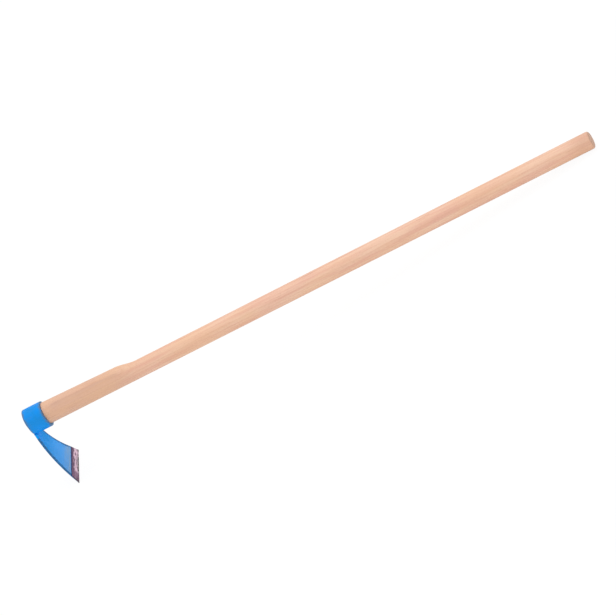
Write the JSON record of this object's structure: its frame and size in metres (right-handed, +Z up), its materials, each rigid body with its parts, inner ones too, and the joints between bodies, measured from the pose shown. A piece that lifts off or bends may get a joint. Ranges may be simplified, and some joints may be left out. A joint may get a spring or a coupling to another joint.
{
  "type": "eye hoe",
  "caption": "Long-handled eye hoe: curved fan-shaped blade with a ground edge under an oval eye ring, wedged on a round wooden handle, for chopping and drawing soil.",
  "frame": {"origin": "on the floor under the middle of the hoe as it lies on its cutting edge and the end of its handle", "axes": "+X from the head towards the grip along the floor, +Y sideways along the cutting edge, +Z up from the floor"},
  "size_m": [1.1984, 0.104, 0.1678],
  "materials": {
    "handle_wood": "sanded pale beech, unvarnished",
    "wedge_wood": "sawn hardwood",
    "blue_enamel": "semi-gloss blue enamel over steel, ground bare along the cutting edge",
    "bare_steel": "bare mild steel"
  },
  "bodies": {
    "root": {"handle": "handle_wood", "eye_ring": "blue_enamel", "blade": "blue_enamel", "inner_weld": "blue_enamel", "outer_weld": "blue_enamel", "wood_wedge": "wedge_wood", "steel_wedge": "bare_steel"}
  },
  "joints": []
}
